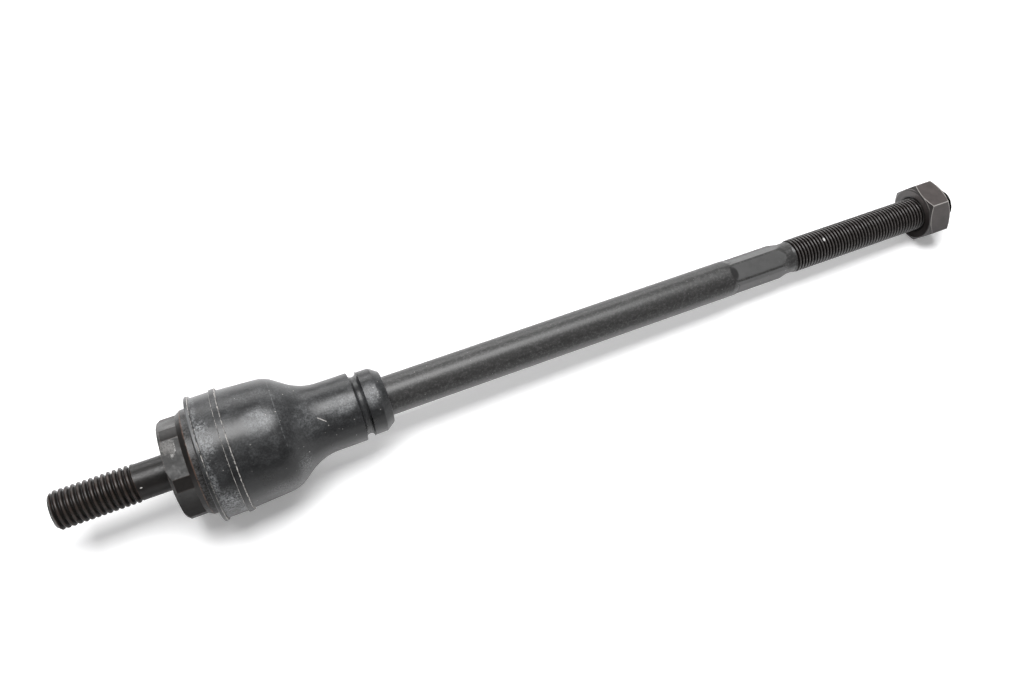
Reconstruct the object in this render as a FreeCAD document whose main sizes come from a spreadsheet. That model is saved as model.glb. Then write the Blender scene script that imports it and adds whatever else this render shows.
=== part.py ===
"""Inner tie rod of a steering rack: a ball-and-socket joint with its dust boot, a long rod
and a jam nut. Millimetres. The axis lies along +X from the rack stud to the outer thread,
+Z is up, and the origin is on the axis at the face that seats against the rack."""
import FreeCAD, Part
import math
import os
import Sketcher

# Driving sizes, one cell each
SIZES = [
    ("stud_dia", 14.0, "rack stud, major diameter of the M14 x 2 thread"),
    ("stud_length", 40.6, "seat face to stud end"),
    ("stud_thread", 27.0, "threaded length of the stud"),
    ("stud_chamfer", 1.2, "lead-in at the stud end"),
    ("shank_step", 0.35, "plain shank below the thread's crests"),
    ("shank_run", 0.7, "cone from the thread's crests down to the shank"),
    ("shank_fillet", 0.8, "fillet where the shank meets the seat face"),
    ("collar_af", 34.0, "across the six milled flats"),
    ("collar_corner_off", 1.23, "turned off the corners of the collar's hexagon"),
    ("collar_length", 6.9, "length of the flats"),
    ("collar_edge", 1.1, "chamfer at the seat face"),
    ("collar_turn", 18.0, "turn of the flats about the axis, degrees"),
    ("flange_ramp", 1.9, "length of the slope up to the flange"),
    ("flange_width", 2.5, "straight width of the flange"),
    ("flange_bevel", 0.3, "bevel at the flange's rear edge"),
    ("bead_groove_width", 8.3, "groove that holds the boot's bead"),
    ("bead_groove_depth", 1.5, "depth of that groove"),
    ("ball_dia", 27.0, "ball of the rod"),
    ("ball_centre", 23.4, "seat face to the ball's centre"),
    ("ball_pole", 7.0, "radius of the flat turned on the ball's pole"),
    ("ball_play", 0.05, "running clearance of ball in bearing and bearing in cup"),
    ("seat_wall", 2.0, "wall of the plastic bearing"),
    ("seat_mouth_angle", 52.0, "bearing's mouth, degrees off the axis at the ball's centre"),
    ("seat_short", 1.0, "bearing's outside ends this far before the rim, degrees"),
    ("seat_floor_dia", 12.0, "hole in the bearing's floor"),
    ("seat_floor_land", 0.7, "flat floor of the bearing round that hole"),
    ("seat_slots", 6, "slots that let the bearing snap over the ball"),
    ("seat_slot_width", 1.6, "width of each slot"),
    ("seat_slot_start", 2.0, "slots start this far before the ball's centre"),
    ("cup_wall", 3.9, "wall of the steel cup"),
    ("cup_floor_cone", 3.5, "depth of the cone at the cup's floor"),
    ("rim_angle", 47.0, "cup's mouth, degrees off the axis at the ball's centre"),
    ("rim_thickness", 0.6, "thickness of the rolled-in rim at the mouth"),
    ("rim_radius", 6.0, "outer radius of the rolled-in rim"),
    ("neck_dia", 12.5, "neck behind the ball"),
    ("neck_length", 17.0, "ball centre to the start of the neck's taper"),
    ("taper_length", 10.0, "taper from neck to rod"),
    ("rod_dia", 15.0, "plain rod"),
    ("wrench_start", 226.9, "seat face to the start of the wrench flats"),
    ("wrench_length", 23.0, "length of the flats at their corners"),
    ("wrench_depth", 1.0, "depth of each wrench flat below the rod"),
    ("wrench_skim", 0.2, "turned off the rod over the corners of the flats"),
    ("wrench_runout", 3.0, "coned run-out at the start of the flats"),
    ("wrench_turn", 53.4, "turn of the wrench flats about the axis, degrees"),
    ("relief_dia", 12.9, "neck between the flats and the outer thread"),
    ("relief_cone", 4.0, "cone from the flats down to the neck"),
    ("relief_land", 3.8, "straight stretch of the neck"),
    ("thread_rise", 1.7, "cone from the neck up to the outer thread"),
    ("thread_dia", 14.0, "outer thread, major diameter of M14 x 1.5"),
    ("thread_pitch", 1.5, "pitch of the outer thread"),
    ("thread_length", 77.5, "length of the outer thread"),
    ("thread_chamfer", 1.0, "lead-in at the rod's end"),
    ("nut_af", 22.0, "across the jam nut's flats"),
    ("nut_height", 11.0, "height of the jam nut"),
    ("nut_from_end", 5.0, "rod's end to the nut's far face"),
    ("nut_face_inset", 0.55, "chamfer circle on the nut's faces inside its flats"),
    ("nut_sink_over", 0.6, "countersink beyond the thread's crests"),
    ("nut_side_play", 0.2, "thread drawn at its pitch diameter this far beyond the nut"),
    ("nut_play", 0.05, "running clearance of the nut on the thread"),
    ("boot_play", 0.1, "clearance of the boot's bead in its groove"),
    ("boot_land_wall", 2.75, "wall of the boot under the ear clamp's land"),
    ("boot_land_length", 7.25, "length of that land"),
    ("boot_lip_height", 0.85, "lip at the boot's large end, above the land"),
    ("boot_lip_width", 1.5, "width of the lip"),
    ("boot_lip_round", 0.45, "rounding of the lip"),
    ("boot_lip_foot", 0.15, "rounding at the lip's foot"),
    ("boot_rib_height", 0.6, "rib beside the land, above it"),
    ("boot_rib_width", 2.1, "width of the rib"),
    ("boot_bulb_step", 0.25, "bulb beside the rib, below the land"),
    ("boot_bulb_taper", 1.0, "fall of the bulb up to its shoulder"),
    ("boot_bulb_inside", 7.0, "ball's centre to where the bulb's inside narrows"),
    ("boot_shoulder", 16.2, "ball's centre to the corner that the shoulder rounds"),
    ("boot_shoulder_radius", 12.2, "radius of the shoulder"),
    ("boot_cone_length", 11.0, "corner of the shoulder to the corner that the waist rounds"),
    ("boot_waist_radius", 19.0, "radius of the waist"),
    ("boot_neck_length", 17.2, "corner of the waist to the end of the small neck"),
    ("boot_neck_step", 2.1, "small neck above the ring groove"),
    ("boot_neck_round", 0.45, "rounding where the neck drops into the ring groove"),
    ("boot_groove_width", 3.2, "ring groove at the small end"),
    ("boot_groove_round", 0.9, "rounding of that groove"),
    ("boot_ring_step", 1.2, "ring above the ring groove"),
    ("boot_ring_wall", 4.7, "wall of the thick ring that grips the rod"),
    ("boot_ring_width", 4.85, "straight width of the ring"),
    ("boot_ring_round", 0.35, "rounding between ring and bevel"),
    ("boot_bevel_width", 3.35, "bevel of the ring"),
    ("boot_bevel_drop", 2.35, "fall of the bevel"),
    ("boot_end_round", 0.7, "rounding at the boot's small end"),
    ("boot_wall", 2.2, "wall of the bulb"),
    ("boot_neck_wall", 2.4, "wall of the small neck"),
    ("boot_rod_play", 0.05, "clearance of the boot's small bore on the rod"),
]

# The run-out's cone goes on below the flats, to this many times their depth
CONE_OVERRUN = 1.5

DOC = FreeCAD.newDocument("inner_tie_rod")
EXPORTED = []


def make_sheet():
    """Put every driving size in the sheet, with its alias and what it means."""
    sheet = DOC.addObject("Spreadsheet::Sheet", "sizes")
    for row, (alias, value, meaning) in enumerate(SIZES, start=1):
        sheet.set(f"A{row}", alias.replace("_", " "))
        sheet.set(f"B{row}", str(value))
        sheet.set(f"C{row}", meaning)
        sheet.setAlias(f"B{row}", alias)
    DOC.recompute()
    return sheet


SHEET = make_sheet()
NAMES = {alias for alias, _, _ in SIZES}


def bound(text):
    """Turn size names in a formula into references to the sheet."""
    words = []
    word = ""
    for letter in text + " ":
        if letter.isalnum() or letter == "_":
            word += letter
            continue
        words.append("sizes." + word if word in NAMES else word)
        words.append(letter)
        word = ""
    return "".join(words).strip()


def value_of(text):
    """What a formula of size names comes to now."""
    found = SHEET.evalExpression(bound(text))
    return float(getattr(found, "Value", found))


def make_body(label):
    return DOC.addObject("PartDesign::Body", label)


def plane_of(body, role):
    return next(f for f in body.Origin.OriginFeatures if f.Role == role)


def corner_points(before, corner, after, radius):
    """Tangent points, centre and turn of an arc that rounds a corner."""
    v1 = FreeCAD.Vector(*before).sub(FreeCAD.Vector(*corner)).normalize()
    v2 = FreeCAD.Vector(*after).sub(FreeCAD.Vector(*corner)).normalize()
    half = v1.getAngle(v2) / 2
    reach = radius / math.tan(half)
    start = FreeCAD.Vector(*corner) + v1 * reach
    end = FreeCAD.Vector(*corner) + v2 * reach
    centre = FreeCAD.Vector(*corner) + (v1 + v2).normalize() * (radius / math.sin(half))
    turns_left = v1.cross(v2).z < 0
    return start, end, centre, turns_left


def arc_between(start, end, centre, turns_left):
    """The arc from start to end about centre, and which of its ends is the start."""
    a0 = math.atan2(start.y - centre.y, start.x - centre.x)
    a1 = math.atan2(end.y - centre.y, end.x - centre.x)
    circle = Part.Circle(centre, FreeCAD.Vector(0, 0, 1), start.distanceToPoint(centre))
    if turns_left:
        return Part.ArcOfCircle(circle, a0, a1), 1, 2
    return Part.ArcOfCircle(circle, a1, a0), 2, 1


def sketch_on(body, role, name):
    sketch = body.newObject("Sketcher::SketchObject", name)
    sketch.AttachmentSupport = [(plane_of(body, role), "")]
    sketch.MapMode = "FlatFace"
    return sketch


def pin_point(sketch, geo, end, x_text, y_text):
    """Hold a point at two formulas, measured from the sketch's origin."""
    for kind, text in (("DistanceX", x_text), ("DistanceY", y_text)):
        index = sketch.addConstraint(
            Sketcher.Constraint(kind, -1, 1, geo, end, value_of(text)))
        sketch.setExpression(f"Constraints[{index}]", bound(text))


def bind_radius(sketch, geo, text):
    index = sketch.addConstraint(Sketcher.Constraint("Radius", geo, value_of(text)))
    sketch.setExpression(f"Constraints[{index}]", bound(text))


def outline(sketch, corners):
    """Close an outline through corners. Each is (x, y), (x, y, "round", radius), or
    (x, y, "arc", radius, turns_left) where the way to the next corner is an arc."""
    spots = [(value_of(c[0]), value_of(c[1]), 0.0) for c in corners]
    count = len(corners)
    rounds = {}
    for i, c in enumerate(corners):
        if len(c) == 4:
            rounds[i] = corner_points(spots[i - 1], spots[i], spots[(i + 1) % count],
                                      value_of(c[3]))
    ways = []
    for i, c in enumerate(corners):
        j = (i + 1) % count
        start = rounds[i][1] if i in rounds else FreeCAD.Vector(*spots[i])
        end = rounds[j][0] if j in rounds else FreeCAD.Vector(*spots[j])
        if len(c) == 5:
            radius = value_of(c[3])
            middle = (start + end) * 0.5
            along = (end - start).normalize()
            side = FreeCAD.Vector(-along.y, along.x, 0)
            reach = math.sqrt(max(radius**2 - (start.distanceToPoint(end) / 2) ** 2, 0))
            centre = middle + side * (reach if c[4] else -reach)
            arc, first, last = arc_between(start, end, centre, c[4])
            geo = sketch.addGeometry(arc, False)
            bind_radius(sketch, geo, c[3])
            ways.append((geo, first, last))
        else:
            ways.append((sketch.addGeometry(Part.LineSegment(start, end), False), 1, 2))
    for i, c in enumerate(corners):
        before, after = ways[i - 1], ways[i]
        if i not in rounds:
            sketch.addConstraint(
                Sketcher.Constraint("Coincident", before[0], before[2], after[0], after[1]))
            pin_point(sketch, after[0], after[1], c[0], c[1])
            continue
        start, end, centre, turns_left = rounds[i]
        arc, first, last = arc_between(start, end, centre, turns_left)
        geo = sketch.addGeometry(arc, False)
        spot = sketch.addGeometry(Part.Point(FreeCAD.Vector(*spots[i])), True)
        pin_point(sketch, spot, 1, c[0], c[1])
        sketch.addConstraint(Sketcher.Constraint("PointOnObject", spot, 1, before[0]))
        sketch.addConstraint(Sketcher.Constraint("PointOnObject", spot, 1, after[0]))
        sketch.addConstraint(Sketcher.Constraint("Tangent", before[0], before[2], geo, first))
        sketch.addConstraint(Sketcher.Constraint("Tangent", geo, last, after[0], after[1]))
        bind_radius(sketch, geo, c[3])


def turned(body, name, corners):
    """Revolve an outline, x along the axis and y its radius, about the X axis."""
    sketch = sketch_on(body, "XZ_Plane", name + "_outline")
    outline(sketch, corners)
    feature = body.newObject("PartDesign::Revolution", name)
    feature.Profile = sketch
    feature.ReferenceAxis = (sketch, ["H_Axis"])
    feature.Angle = 360
    DOC.recompute()
    return feature


def hexagon(af):
    """Corners of a hexagon with flats facing +Y and -Y of its sketch."""
    turns = [f"({60 * k} deg)" for k in range(6)]
    return [(f"{af} / sqrt(3) * cos{t}", f"{af} / sqrt(3) * sin{t}") for t in turns]


def mill_hexagon(body, name, af, end, length):
    """Cut six flats that stop at end, measured along the axis, and run back over length."""
    before = body.Shape.Volume
    sketch = sketch_on(body, "YZ_Plane", name + "_outline")
    outline(sketch, hexagon(af))
    ring = sketch.addGeometry(
        Part.Circle(FreeCAD.Vector(), FreeCAD.Vector(0, 0, 1), value_of(af)), False)
    sketch.addConstraint(Sketcher.Constraint("Coincident", ring, 3, -1, 1))
    bind_radius(sketch, ring, af)
    sketch.setExpression("AttachmentOffset.Base.z", bound(end))
    pocket = body.newObject("PartDesign::Pocket", name)
    pocket.Profile = sketch
    pocket.setExpression("Length", bound(length))
    DOC.recompute()
    if not body.Shape.Volume < before - 1.0:
        raise RuntimeError(name + " cut nothing")
    return pocket


def keep(item, label, turn=None):
    """Name a finished piece and, if it has one, bind its turn about the axis."""
    item.Label = label
    if turn:
        item.Placement = FreeCAD.Placement(
            FreeCAD.Vector(), FreeCAD.Rotation(FreeCAD.Vector(1, 0, 0), 1.0))
        item.setExpression("Placement.Rotation.Angle", bound(f"{turn} * 1 deg"))
    EXPORTED.append(item)


# Places and radii that follow from the driving sizes
SEAT_INNER = "(ball_dia / 2 + ball_play)"
SEAT_OUTER = f"({SEAT_INNER} + seat_wall)"
CUP_BORE = f"({SEAT_OUTER} + ball_play)"
CUP_OUTSIDE = f"({CUP_BORE} + cup_wall)"
CUP_FLOOR = f"(ball_centre - {CUP_BORE})"
COLLAR_RADIUS = "(collar_af / sqrt(3) - collar_corner_off)"
FLANGE_END = "(collar_length + flange_ramp + flange_width)"
BEAD_GROOVE = f"({CUP_OUTSIDE} - bead_groove_depth)"
BEAD_GROOVE_END = f"({FLANGE_END} + bead_groove_width)"
WRENCH_AF = "(rod_dia - 2 * wrench_depth)"
WRENCH_END = "(wrench_start + wrench_length)"
RELIEF_START = f"({WRENCH_END} + relief_cone)"
THREAD_START = f"({RELIEF_START} + relief_land + thread_rise)"
THREAD_END = f"({THREAD_START} + thread_length)"
THREAD_MEETING = "(thread_dia / 2 - thread_pitch * 3 / 8 * sin(60 deg))"
NUT_END = f"({THREAD_END} - nut_from_end)"
NUT_START = f"({NUT_END} - nut_height)"


def along_sphere(radius, angle):
    """Distance along the axis from a sphere's centre, at an angle off the axis."""
    return f"{radius} * cos({angle} * 1 deg)"


def off_axis(radius, angle):
    """Distance from the axis on a sphere, at an angle off the axis."""
    return f"{radius} * sin({angle} * 1 deg)"


def socket_housing():
    """Stud, milled collar, flange, bead groove and cup: one steel forging whose rim is
    rolled in over the bearing."""
    body = make_body("housing_body")
    shank = "(stud_dia / 2 - shank_step)"
    rim_end = f"(ball_centre + {along_sphere(CUP_BORE, 'rim_angle')})"
    rim_back = f"({rim_end} + rim_thickness)"
    mouth = off_axis(CUP_BORE, "rim_angle")
    turned(body, "housing_turned", [
        ("-stud_length", "0"),
        ("-stud_length", "stud_dia / 2 - stud_chamfer"),
        ("-stud_length + stud_chamfer", "stud_dia / 2"),
        ("-stud_length + stud_thread", "stud_dia / 2"),
        ("-stud_length + stud_thread + shank_run", shank),
        ("0", shank, "round", "shank_fillet"),
        ("0", f"{COLLAR_RADIUS} - collar_edge"),
        ("collar_edge", COLLAR_RADIUS),
        ("collar_length", COLLAR_RADIUS),
        ("collar_length + flange_ramp", CUP_OUTSIDE),
        (f"{FLANGE_END} - flange_bevel", CUP_OUTSIDE),
        (FLANGE_END, f"{CUP_OUTSIDE} - flange_bevel"),
        (FLANGE_END, BEAD_GROOVE),
        (BEAD_GROOVE_END, BEAD_GROOVE),
        (BEAD_GROOVE_END, CUP_OUTSIDE),
        (rim_back, CUP_OUTSIDE, "round", "rim_radius"),
        (rim_back, mouth),
        (rim_end, mouth, "arc", CUP_BORE, True),
        ("ball_centre", CUP_BORE),
        (f"{CUP_FLOOR} + cup_floor_cone", CUP_BORE),
        (CUP_FLOOR, "seat_floor_dia / 2 + seat_floor_land + ball_play"),
        (CUP_FLOOR, "0"),
    ])
    mill_hexagon(body, "collar_flats", "collar_af", "collar_length",
                 "collar_length + collar_edge")
    keep(body, "socket_housing", "collar_turn")


def ball_seat():
    """Plastic bearing: it holds the ball past its equator, and slots let it snap over."""
    body = make_body("seat_body")
    floor = f"({CUP_FLOOR} + ball_play)"
    outside_end = "(rim_angle + seat_short)"
    turned(body, "seat_turned", [
        (floor, "seat_floor_dia / 2"),
        (floor, "seat_floor_dia / 2 + seat_floor_land"),
        (f"{floor} + cup_floor_cone", SEAT_OUTER),
        ("ball_centre", SEAT_OUTER, "arc", SEAT_OUTER, False),
        (f"ball_centre + {along_sphere(SEAT_OUTER, outside_end)}",
         off_axis(SEAT_OUTER, outside_end)),
        (f"ball_centre + {along_sphere(SEAT_INNER, 'seat_mouth_angle')}",
         off_axis(SEAT_INNER, "seat_mouth_angle"), "arc", SEAT_INNER, True),
        (f"ball_centre - sqrt({SEAT_INNER}^2 - (seat_floor_dia / 2)^2)",
         "seat_floor_dia / 2"),
    ])
    before = body.Shape.Volume
    side = sketch_on(body, "XZ_Plane", "slot_outline")
    outline(side, [
        ("ball_centre - seat_slot_start", "seat_wall"),
        ("ball_centre + ball_dia / 2", "seat_wall"),
        ("ball_centre + ball_dia / 2", "ball_dia / 2 + 2 * seat_wall"),
        ("ball_centre - seat_slot_start", "ball_dia / 2 + 2 * seat_wall"),
    ])
    slot = body.newObject("PartDesign::Pocket", "slot")
    slot.Profile = side
    slot.Midplane = True
    slot.setExpression("Length", bound("seat_slot_width"))
    DOC.recompute()
    slots = body.newObject("PartDesign::PolarPattern", "slots")
    slots.Originals = [slot]
    slots.Axis = (side, ["H_Axis"])
    slots.Angle = 360
    slots.setExpression("Occurrences", bound("seat_slots"))
    body.Tip = slots
    DOC.recompute()
    if not body.Shape.Volume < before - 1.0:
        raise RuntimeError("the bearing's slots cut nothing")
    keep(body, "ball_seat")


def wrench_cutter():
    """What the wrench flats take off: the outside of a hexagon, which starts in a cone."""
    length = f"({RELIEF_START} + relief_land / 2 - wrench_start)"
    ring = DOC.addObject("Part::Cylinder", "flats_ring")
    bar = DOC.addObject("Part::Prism", "flats_bar")
    cone = DOC.addObject("Part::Cone", "flats_cone")
    along_x = FreeCAD.Rotation(FreeCAD.Vector(0, 1, 0), 90)
    for item in (ring, bar, cone):
        item.Placement = FreeCAD.Placement(FreeCAD.Vector(), along_x)
        item.setExpression("Placement.Base.x", bound("wrench_start"))
    ring.setExpression("Radius", bound("rod_dia"))
    ring.setExpression("Height", bound(length))
    bar.Polygon = 6
    bar.setExpression("Circumradius", bound(f"{WRENCH_AF} / sqrt(3)"))
    bar.setExpression("Height", bound(length))
    cone.setExpression("Radius1", bound("rod_dia / 2"))
    cone.setExpression("Radius2", bound(f"rod_dia / 2 - {CONE_OVERRUN} * wrench_depth"))
    cone.setExpression("Height", bound(f"{CONE_OVERRUN} * wrench_runout"))
    outside = DOC.addObject("Part::Cut", "flats_outside")
    outside.Base, outside.Tool = ring, bar
    cutter = DOC.addObject("Part::Cut", "flats_cutter")
    cutter.Base, cutter.Tool = outside, cone
    return cutter


def tie_rod():
    """Ball, neck, rod, wrench flats and outer thread: one forging. Under the nut the
    thread is drawn where nut and thread meet, at the pitch diameter."""
    body = make_body("rod_body")
    pole = "(ball_centre - sqrt((ball_dia / 2)^2 - ball_pole^2))"
    taper = "(ball_centre + neck_length)"
    skimmed = "rod_dia / 2 - wrench_skim"
    turned(body, "rod_turned", [
        (pole, "0"),
        (pole, "ball_pole", "arc", "ball_dia / 2", False),
        ("ball_centre + sqrt((ball_dia / 2)^2 - (neck_dia / 2)^2)", "neck_dia / 2"),
        (taper, "neck_dia / 2"),
        (f"{taper} + taper_length", "rod_dia / 2"),
        ("wrench_start", "rod_dia / 2"),
        ("wrench_start + 2 * wrench_skim", skimmed),
        (WRENCH_END, skimmed),
        (RELIEF_START, "relief_dia / 2"),
        (f"{RELIEF_START} + relief_land", "relief_dia / 2"),
        (THREAD_START, "thread_dia / 2"),
        (f"{NUT_START} - nut_side_play", "thread_dia / 2"),
        (f"{NUT_START} - nut_side_play", THREAD_MEETING),
        (f"{NUT_END} + nut_side_play", THREAD_MEETING),
        (f"{NUT_END} + nut_side_play", "thread_dia / 2"),
        (f"{THREAD_END} - thread_chamfer", "thread_dia / 2"),
        (THREAD_END, "thread_dia / 2 - thread_chamfer"),
        (THREAD_END, "0"),
    ])
    rod = DOC.addObject("Part::Cut", "rod_cut")
    rod.Base, rod.Tool = body, wrench_cutter()
    DOC.recompute()
    if not rod.Shape.Volume < body.Shape.Volume - 1.0:
        raise RuntimeError("the wrench flats cut nothing")
    keep(rod, "tie_rod", "wrench_turn")


def dust_boot():
    """Moulded rubber boot: lip, clamp land and rib at the large end, a bulb, a waist, and
    a grooved ring that grips the rod."""
    body = make_body("boot_body")
    inside = f"({CUP_OUTSIDE} + 2 * boot_play)"
    land_radius = f"({inside} + boot_land_wall)"
    lip_radius = f"({land_radius} + boot_lip_height)"
    rib_radius = f"({land_radius} + boot_rib_height)"
    bulb_radius = f"({land_radius} - boot_bulb_step)"
    bulb_end_radius = f"({bulb_radius} - boot_bulb_taper)"
    bore = "(rod_dia / 2 + boot_rod_play)"
    ring_radius = f"({bore} + boot_ring_wall)"
    groove_radius = f"({ring_radius} - boot_ring_step)"
    neck_radius = f"({groove_radius} + boot_neck_step)"
    bead_radius = f"({BEAD_GROOVE} + boot_play)"
    bead_end = f"({BEAD_GROOVE_END} - boot_play)"
    lip = f"({FLANGE_END} + boot_play)"
    land = f"({lip} + boot_lip_width)"
    rib = f"({land} + boot_land_length)"
    bulb = f"({rib} + boot_rib_width)"
    shoulder = "(ball_centre + boot_shoulder)"
    waist = f"({shoulder} + boot_cone_length)"
    groove = f"({waist} + boot_neck_length)"
    ring = f"({groove} + boot_groove_width)"
    bevel = f"({ring} + boot_ring_width)"
    end = f"({bevel} + boot_bevel_width)"
    turned(body, "boot_turned", [
        (lip, bead_radius),
        (lip, lip_radius, "round", "boot_lip_round"),
        (land, lip_radius, "round", "boot_lip_round"),
        (land, land_radius, "round", "boot_lip_foot"),
        (rib, land_radius),
        (rib, rib_radius),
        (bulb, rib_radius),
        (bulb, bulb_radius),
        (shoulder, bulb_end_radius, "round", "boot_shoulder_radius"),
        (waist, neck_radius, "round", "boot_waist_radius"),
        (groove, neck_radius),
        (groove, groove_radius, "round", "boot_neck_round"),
        (ring, groove_radius, "round", "boot_groove_round"),
        (ring, ring_radius),
        (bevel, ring_radius, "round", "boot_ring_round"),
        (end, f"{ring_radius} - boot_bevel_drop", "round", "boot_end_round"),
        (end, bore),
        (ring, bore),
        (f"{groove} - boot_neck_wall", f"{neck_radius} - boot_neck_wall"),
        (waist, f"{neck_radius} - boot_neck_wall", "round", "boot_waist_radius + boot_wall"),
        (f"{shoulder} - boot_wall / 2", f"{bulb_end_radius} - boot_wall", "round",
         "boot_shoulder_radius - boot_wall"),
        ("ball_centre + boot_bulb_inside", inside),
        (bead_end, inside),
        (bead_end, bead_radius),
    ])
    keep(body, "dust_boot")


def jam_nut():
    """Hexagon nut, chamfered on both faces and countersunk at both ends of its bore."""
    body = make_body("nut_body")
    corner = "(nut_af / sqrt(3))"
    face = "(nut_af / 2 - nut_face_inset)"
    bore = f"({THREAD_MEETING} + nut_play)"
    sink = "(thread_dia / 2 + nut_sink_over)"
    slope = "tan(30 deg)"
    edge = f"(({corner} - {face}) * {slope})"
    depth = f"(({sink} - {bore}) * {slope})"
    turned(body, "nut_turned", [
        (f"{NUT_START} + {depth}", bore),
        (NUT_START, sink),
        (NUT_START, face),
        (f"{NUT_START} + {edge}", corner),
        (f"{NUT_END} - {edge}", corner),
        (NUT_END, face),
        (NUT_END, sink),
        (f"{NUT_END} - {depth}", bore),
    ])
    beyond = "nut_height"
    mill_hexagon(body, "nut_flats", "nut_af", f"{NUT_END} + {beyond}",
                 f"{beyond} + nut_height + {beyond}")
    keep(body, "jam_nut")


def check_document():
    """Every object has to be up to date, and every piece one valid solid."""
    DOC.recompute()
    for item in DOC.Objects:
        if "Invalid" in item.State or "Error" in item.State:
            raise RuntimeError(f"{item.Label} did not compute: {item.State}")
    for item in EXPORTED:
        shape = item.Shape
        if shape.isNull() or not shape.isValid() or len(shape.Solids) != 1:
            raise RuntimeError(f"{item.Label} is not one valid solid")


def write_parts():
    os.makedirs("parts", exist_ok=True)
    for item in EXPORTED:
        item.Shape.exportStep(f"parts/{item.Label}.step")
        box = item.Shape.BoundBox
        print(f"{item.Label}: {item.Shape.Volume / 1000:.2f} cm3, "
              f"x {box.XMin:.2f} to {box.XMax:.2f}, r {box.YLength / 2:.2f}")


socket_housing()
ball_seat()
tie_rod()
dust_boot()
jam_nut()
check_document()
write_parts()
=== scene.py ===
"""Visual model of an inner tie rod: threaded stud with collar and ball socket, bearing, rod,
dust boot and jam nut, on a pale studio floor. Metres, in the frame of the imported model."""
import math

import bmesh
import bpy
import numpy as np
from bpy.props import (
    FloatProperty, FloatVectorProperty, IntProperty, PointerProperty)
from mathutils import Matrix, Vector


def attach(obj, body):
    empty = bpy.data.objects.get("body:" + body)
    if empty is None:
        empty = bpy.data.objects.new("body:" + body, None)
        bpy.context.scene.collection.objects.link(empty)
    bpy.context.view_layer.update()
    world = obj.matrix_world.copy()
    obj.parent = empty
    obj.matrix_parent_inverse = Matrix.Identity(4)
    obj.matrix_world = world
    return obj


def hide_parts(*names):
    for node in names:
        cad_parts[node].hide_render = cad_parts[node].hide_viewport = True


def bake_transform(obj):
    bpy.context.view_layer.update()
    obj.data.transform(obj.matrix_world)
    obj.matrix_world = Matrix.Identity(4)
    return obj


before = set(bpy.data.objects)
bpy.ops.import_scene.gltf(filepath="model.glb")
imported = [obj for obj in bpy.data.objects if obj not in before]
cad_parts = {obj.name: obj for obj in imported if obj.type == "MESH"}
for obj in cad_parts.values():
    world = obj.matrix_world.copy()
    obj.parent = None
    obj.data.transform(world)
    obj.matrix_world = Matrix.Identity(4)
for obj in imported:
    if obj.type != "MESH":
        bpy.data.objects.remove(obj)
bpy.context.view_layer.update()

bl_info = {
    "name": "Inner tie rod",
    "version": (1, 0, 0),
    "blender": (4, 5, 0),
    "location": "View3D > Sidebar > Tie rod",
    "description": "Builds the finished look of an inner tie rod",
    "category": "Object",
}

MM = 0.001


def extent(node):
    """Start and end of a CAD node along the axis and its largest radius, in millimetres."""
    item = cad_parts[node]
    spots = np.array([item.matrix_world @ v.co for v in item.data.vertices]) / MM
    reach = np.hypot(spots[:, 1], spots[:, 2]).max()
    return round(spots[:, 0].min(), 3), round(spots[:, 0].max(), 3), round(reach, 3)


# Places along the axis from the seat face, radii and other sizes, in millimetres
STUD_END, RIM_END, FLANGE_RADIUS = extent("socket_housing")
ROD_POLE, ROD_END, BALL_RADIUS = extent("tie_rod")
BOOT_START, BOOT_END, LIP_RADIUS = extent("dust_boot")
NUT_START, NUT_END, NUT_CORNER = extent("jam_nut")
THREAD_RADIUS = 7.0
FACE_RING = 5.0
SHANK_RADIUS = 6.65
STUD_THREAD = 28.9
STUD_CHAMFER = 1.15
STUD_RUN_OUT = 1.5
COLLAR_FLAT = 17.0
COLLAR_RADIUS = 18.4
COLLAR_EDGE = 1.1
COLLAR_END = 6.9
COLLAR_TURN = math.radians(90 + 18)
RAMP_END = 8.8
FLANGE_END = BOOT_START - 0.1
GROOVE_RADIUS = 18.0
GROOVE_END = 19.6
BALL_X = 23.4
CUP_RADIUS = 15.6
CUP_FLOOR = 7.8
CUP_FLOOR_RADIUS = 6.75
CUP_CONE = 3.5
RIM_ROUND = 6.0
RIM_OPENING = 11.41
RIM_ANGLE = 47.0  # degrees from the axis, where the bowl meets the rim
NECK_RADIUS = 6.25
NECK_END = BALL_X + 17.0
ROD_START = BALL_X + 27.0
ROD_RADIUS = 7.5
WRENCH_START = 225.9
WRENCH_END = 249.5
WRENCH_FLAT = 6.5
WRENCH_CORNER = 7.3
WRENCH_RAMP = 3.2  # run for each millimetre of drop
WRENCH_SCALLOP = 1.2
WRENCH_STEP = 1.6, 2.6
WRENCH_TURN = math.radians(53.4)
RELIEF_START = 253.2
RELIEF_RADIUS = 6.45
RELIEF_END = 256.4
OUTER_CHAMFER = 1.0
OUTER_RUN_OUT = 1.7
LAND_RADIUS = 22.45
LIP_END = 12.9
LAND_END = 20.15
RIB_END = 22.25
SHOULDER = 39.6
WAIST = 50.6
SMALL_NECK = 13.15
SMALL_GROOVE = 67.8
RING_START = 71.0
RING_END = 75.85
NUT_FLAT = 11.0
NUT_FACE = 10.45
NUT_BORE = 7.06
NUT_SINK = 7.6
NUT_SLOPE = math.tan(math.radians(35))
FLOOR_REACH = 1600.0
FLOOR_GAP = 0.15
FLOOR_PIVOT = BOOT_START + 0.4
PART_MIDDLE = 120.0

# Reach of a weld in metres, and bends in degrees: where an edge stays sharp, where its wear
# begins, and how much more bend makes the wear full
WELD_REACH = 2e-6
SHARP_BEND = 35.0
WORN_FROM = 6.0
WORN_SPAN = 30.0

# Axes, as a finish names them
X, Y, Z = range(3)

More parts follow.
